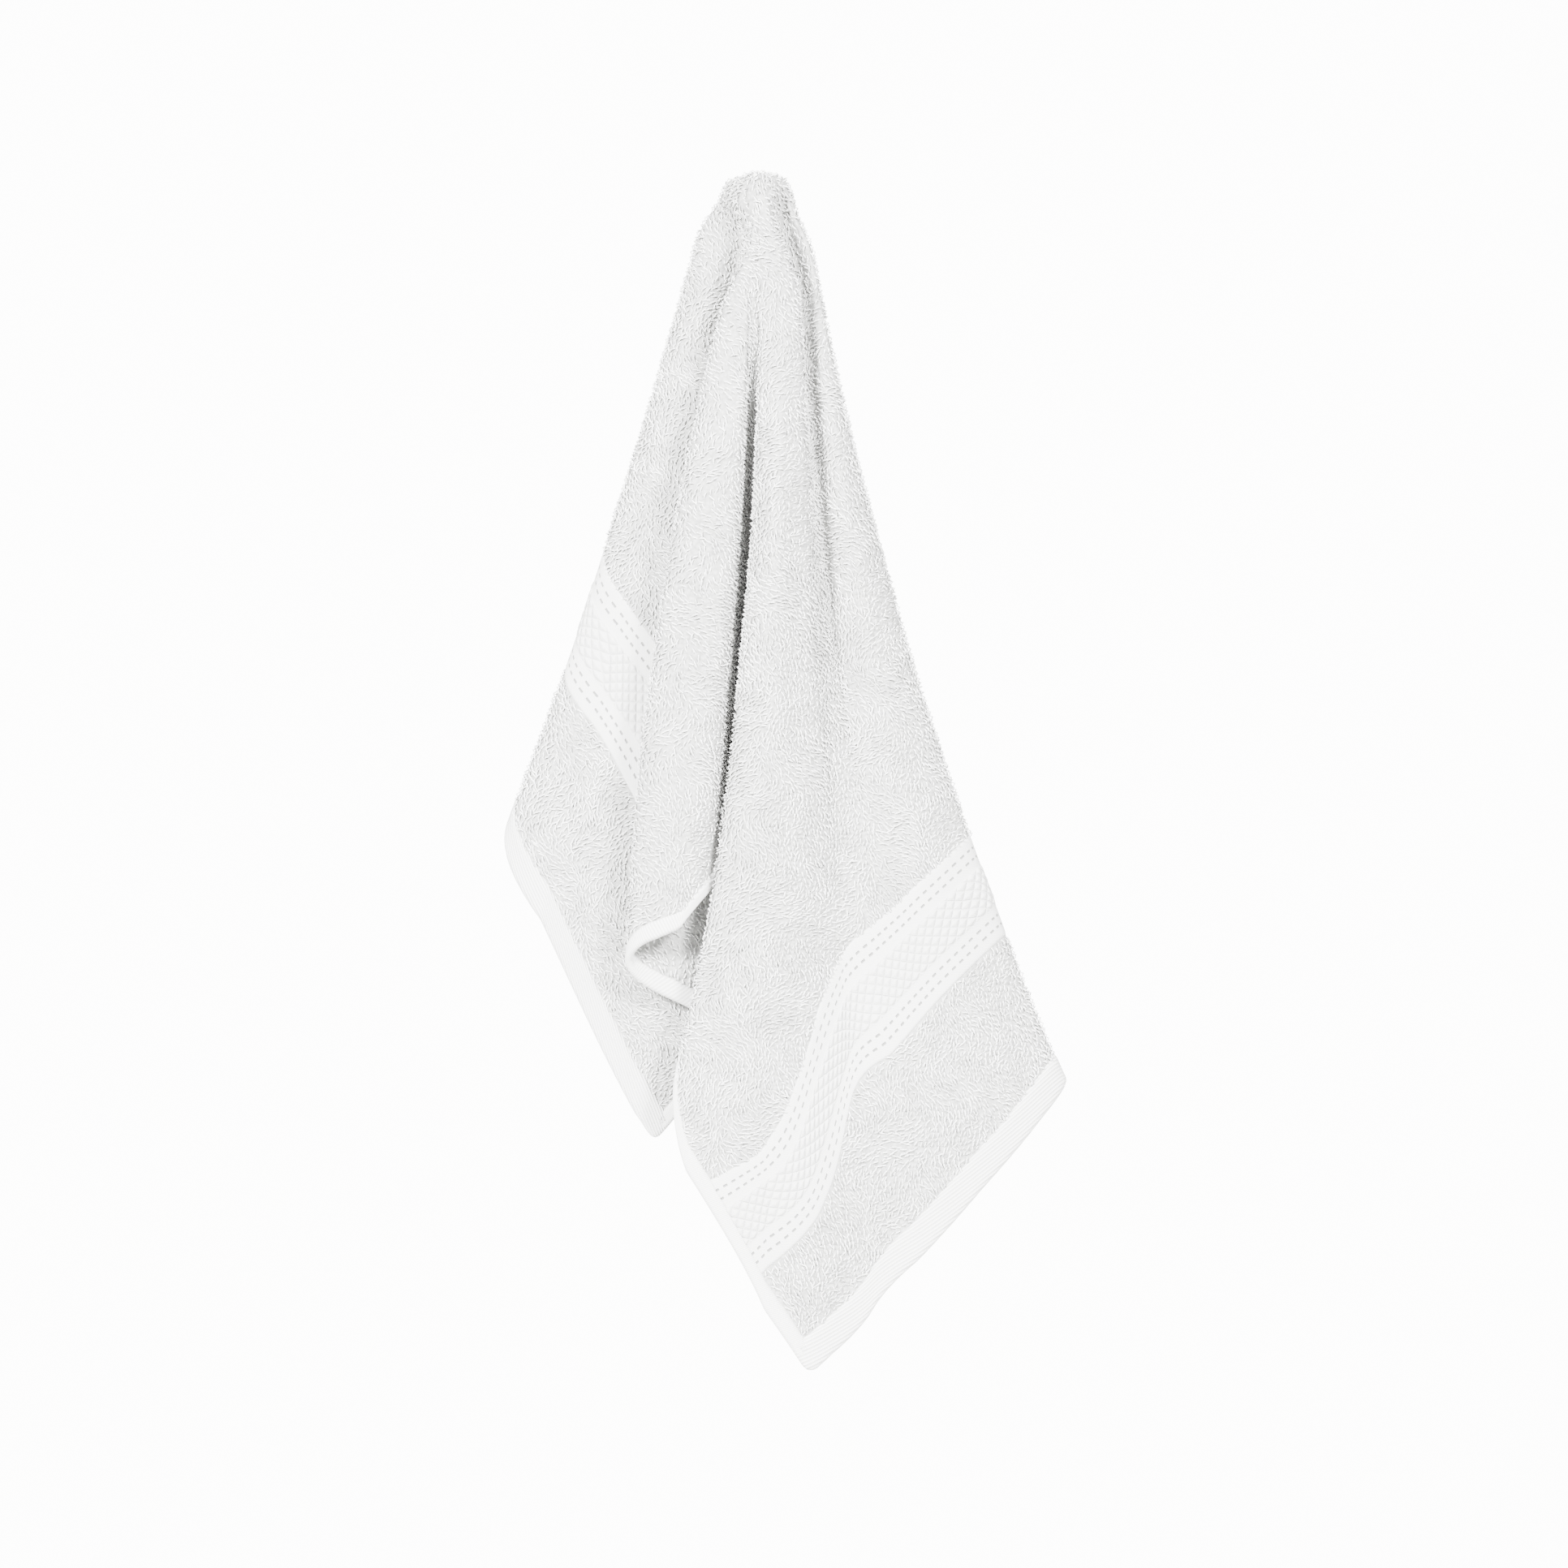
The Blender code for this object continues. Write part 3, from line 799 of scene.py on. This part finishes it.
loopShape = {
    "spacing": 1.27 * mm,        # real loops lie about 1 mm apart in rows 1.6 mm apart
    "tryStep": 0.95 * mm,
    "height": 1.15 * mm,
    "heightSpread": 0.3,
    "reach": 2.3 * mm,           # length of one loop along the cloth
    "thread": 0.35 * mm,         # radius of the loop's yarn pair
    "reachSpread": (0.75, 1.25),
    "lean": 0.9 * mm,            # how far its top hangs over
    "leanSpread": (0.3, 1.6),
    "topLean": 0.6,              # share of the lean at the top, the far foot has it all
    "footShare": 0.6,            # the feet stand in the ground at this share of its half thickness
    "footLift": 0.25 * mm,       # of the far foot
    "footWidth": 0.85,           # the yarn is a little thinner at its feet
    "sameFace": 0.2,             # cosine over which two places face the same way
    "bareMargin": 0.6 * mm,      # beside hems and borders
    "clear": 3.4 * mm,           # room that a loop needs in front of it
    "clearFrom": 0.25 * mm,
    "seeing": 400.0 * mm,
    "lookTilts": ((0.0, (0.0,)), (0.75, (0.0, 1.6, 3.1, 4.7)), (1.25, (0.8, 2.4, 3.9, 5.5))),
    "fall": (0.02, -0.05, -1.0), # the way in which loops hang down
    "patch": 20.0 * mm,          # size of the areas that lean one way
    "patchTurn": 2.4,            # radians that they turn from hanging straight down
    "loopTurn": 0.40,
    "seed": 8,
    "pieces": 4,
}


def bareStrip(u, v):
    # True where the cloth has no loops: hems and woven borders.
    shape = borderShape
    margin = loopShape["bareMargin"]
    inHem = ((u < towelCut["uLow"] + hemLooks["selvageWidth"] + margin)
             | (u > towelCut["uHigh"] - hemLooks["selvageWidth"] - margin)
             | (v < towelCut["vLow"] + hemLooks["endWidth"] + margin)
             | (v > towelCut["vHigh"] - hemLooks["endWidth"] - margin))
    inBorder = np.zeros(u.shape, dtype=bool)
    for which in ("front", "back"):
        reach = shape["width"] * borderScale(which, u) / 2.0 + margin
        inBorder |= np.abs(v - borderMiddle(which, u)) < reach
    return inHem | inBorder


def loopPlaces(draw):
    # Places on both faces, chosen one by one so that no two loops stand too close.
    shape = loopShape
    step = shape["tryStep"]
    u, v = np.meshgrid(np.arange(towelCut["uLow"], towelCut["uHigh"], step),
                       np.arange(towelCut["vLow"], towelCut["vHigh"], step))
    u = u + draw.uniform(-0.5, 0.5, u.shape) * step
    v = v + draw.uniform(-0.5, 0.5, v.shape) * step
    keep = ~bareStrip(u, v)
    points, normals = onCloth(u[keep], v[keep])
    count = len(points)
    order = draw.permutation(count)
    nearby = KDTree(count)
    for index in range(count):
        nearby.insert(points[index], index)
    nearby.balance()
    taken = np.zeros(count, dtype=bool)
    chosen = []
    facing = normals.tolist()
    for index in order:
        if taken[index]:
            continue
        chosen.append(index)
        x, y, z = facing[index]
        for _, other, _ in nearby.find_range(points[index], shape["spacing"]):
            way = facing[other]
            if x * way[0] + y * way[1] + z * way[2] > shape["sameFace"]:
                taken[other] = True
    return points[chosen], normals[chosen]


def lookOut(points, normals, tree):
    # True for each place that has room in front of it and is seen from outside.
    shape = loopShape
    # It looks straight out, and in radians at two tilts with some turns around that way.
    towards = [(tilt, turn) for tilt, turns in shape["lookTilts"] for turn in turns]
    seen = np.zeros(len(points), dtype=bool)
    start = groundShape["half"] + shape["clearFrom"]
    for index in range(len(points)):
        normal = Vector(normals[index])
        origin = Vector(points[index]) + normal * start
        if tree.ray_cast(origin, normal, shape["clear"])[0] is not None:
            continue
        side = normal.orthogonal().normalized()
        other = normal.cross(side)
        for tilt, turn in towards:
            way = normal * math.cos(tilt) + (side * math.cos(turn)
                                             + other * math.sin(turn)) * math.sin(tilt)
            if tree.ray_cast(origin, way, shape["seeing"])[0] is None:
                seen[index] = True
                break
    return seen


def loopMesh(points, normals, ways, draw):
    # Each loop is an arch of yarn with three sides and two lengths.
    shape = loopShape
    count = len(points)
    across = np.cross(normals, ways)
    height = shape["height"] * (1.0 + shape["heightSpread"] * draw.uniform(-1, 1, count))
    lean = shape["lean"] * draw.uniform(*shape["leanSpread"], count)
    half = shape["reach"] / 2.0 * draw.uniform(*shape["reachSpread"], count)
    foot = groundShape["half"] * shape["footShare"]
    arch = ((-half, np.full(count, foot), shape["footWidth"]),
            (lean * shape["topLean"], height + foot, 1.0),
            (half + lean, np.full(count, foot + shape["footLift"]), shape["footWidth"]))
    rings = []
    for along, rise, width in arch:
        middle = points + ways * along[:, None] + normals * rise[:, None]
        for side in range(3):
            turn = 2.0 * math.pi * side / 3.0 + math.pi / 2.0
            up = normals * math.sin(turn)
            if width < 1.0:      # the feet's rings lie flat on the cloth
                up = ways * -abs(math.sin(turn)) * np.sign(along - lean)[:, None]
            rings.append(middle + (across * math.cos(turn) + up) * shape["thread"] * width)
    verts = np.stack(rings, axis=1)
    faces = []
    for ring in range(2):
        for side in range(3):
            near, far = ring * 3 + side, ring * 3 + (side + 1) % 3
            faces.append((near, far, far + 3))
            faces.append((near, far + 3, near + 3))
    faces = np.array(faces)[None] + (np.arange(count) * 9)[:, None, None]
    return verts.reshape(-1, 3), faces.reshape(-1, 3)


def makeLoops():
    shape = loopShape
    polygons = [tuple(polygon.vertices) for polygon in ground.data.polygons]
    tree = BVHTree.FromPolygons([vertex.co.copy() for vertex in ground.data.vertices], polygons)
    draw = np.random.default_rng(shape["seed"])
    points, normals = loopPlaces(draw)
    found = []
    for way in (1.0, -1.0):
        seen = lookOut(points, normals * way, tree)
        found.append((points[seen], normals[seen] * way))
    points = np.concatenate([item[0] for item in found])
    normals = np.concatenate([item[1] for item in found])
    turns = np.array([noise.noise(Vector(point) / shape["patch"]) for point in points])
    turns = turns * shape["patchTurn"] + draw.normal(0.0, shape["loopTurn"], len(points))
    fall = np.array(shape["fall"])
    down = unit(fall - normals * (normals @ fall)[:, None])
    ways = down * np.cos(turns)[:, None] + np.cross(normals, down) * np.sin(turns)[:, None]
    order = np.argsort(points[:, 2])
    material = makeTerryMaterial()
    made = []
    for index, chosen in enumerate(np.array_split(order, shape["pieces"])):
        verts, faces = loopMesh(points[chosen], normals[chosen], ways[chosen], draw)
        piece = meshPiece("terry_loops_%d" % (index + 1), verts, faces)
        piece.data.materials.append(material)
        made.append(piece)
    print("towel:", len(points), "loops")
    return made


loops = makeLoops()

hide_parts("towel")

# Floor, light and camera

studio = {
    "floorHeight": -0.60,
    "floorSize": 1.1,
    "floorColour": "#F4F4F2",
    "floorRoughness": 0.9,
    "worldColour": "#FBFBFA",
    "backStrength": 14.0,     # behind the towel
    "frontStrength": 1.6,     # on every other side
    "backFrom": 0.75,         # how straight behind the brighter part begins, 1 is straight
    "backFull": 0.95,
    "cameraPoint": (0.0101, -4.0, -0.2240),
    "cameraFocus": -0.035,    # the plane of the front folds, where the frame is measured
    "frameWidth": 0.5733,
    "sensorWidth": 36.0,      # mm
    "lights": (
        ("left light", (-1.5, -2.2, 0.9), 0.6, 800.0),
        ("right light", (1.4, -2.3, 1.2), 0.6, 610.0),
    ),
}


def makeStudio():
    values = studio
    half = values["floorSize"] / 2.0
    mesh = bpy.data.meshes.new("floor")
    mesh.from_pydata([(-half, -half, 0), (half, -half, 0), (half, half, 0), (-half, half, 0)],
                     [], [(0, 1, 2, 3)])
    floor = bpy.data.objects.new("floor", mesh)
    floor.location = (0.0, 0.0, values["floorHeight"])
    material = bpy.data.materials.new("matt painted floor")
    material.use_nodes = True
    shader = material.node_tree.nodes["Principled BSDF"]
    shader.inputs["Base Color"].default_value = linearColour(values["floorColour"])
    shader.inputs["Roughness"].default_value = values["floorRoughness"]
    mesh.materials.append(material)
    bpy.context.scene.collection.objects.link(floor)
    world = bpy.data.worlds.new("studio")
    world.use_nodes = True
    tree = world.node_tree
    place = addNode(tree, "ShaderNodeTexCoord")
    parts = addNode(tree, "ShaderNodeSeparateXYZ", None, {"Vector": place.outputs["Generated"]})
    strength = addNode(tree, "ShaderNodeMapRange", {
        "interpolation_type": "SMOOTHSTEP",
        "From Min": values["backFrom"], "From Max": values["backFull"],
        "To Min": values["frontStrength"], "To Max": values["backStrength"]},
        {"Value": parts.outputs["Y"]})
    back = tree.nodes["Background"]
    back.inputs["Color"].default_value = linearColour(values["worldColour"])
    tree.links.new(strength.outputs[0], back.inputs["Strength"])
    bpy.context.scene.world = world
    aim = Vector((0.0, 0.0, values["cameraPoint"][2]))
    for name, place, size, power in values["lights"]:
        light = bpy.data.lights.new(name, "AREA")
        light.size = size
        light.energy = power
        lamp = bpy.data.objects.new(name, light)
        lamp.location = place
        lamp.rotation_euler = (aim - Vector(place)).to_track_quat("-Z", "Y").to_euler()
        bpy.context.scene.collection.objects.link(lamp)
    lens = bpy.data.cameras.new("camera")
    camera = bpy.data.objects.new("camera", lens)
    camera.location = values["cameraPoint"]
    camera.rotation_euler = (math.pi / 2.0, 0.0, 0.0)
    away = values["cameraFocus"] - values["cameraPoint"][1]
    lens.sensor_width = values["sensorWidth"]
    lens.lens = values["sensorWidth"] * away / values["frameWidth"]
    bpy.context.scene.collection.objects.link(camera)
    bpy.context.scene.camera = camera


makeStudio()
print("towel: floor, light and camera")
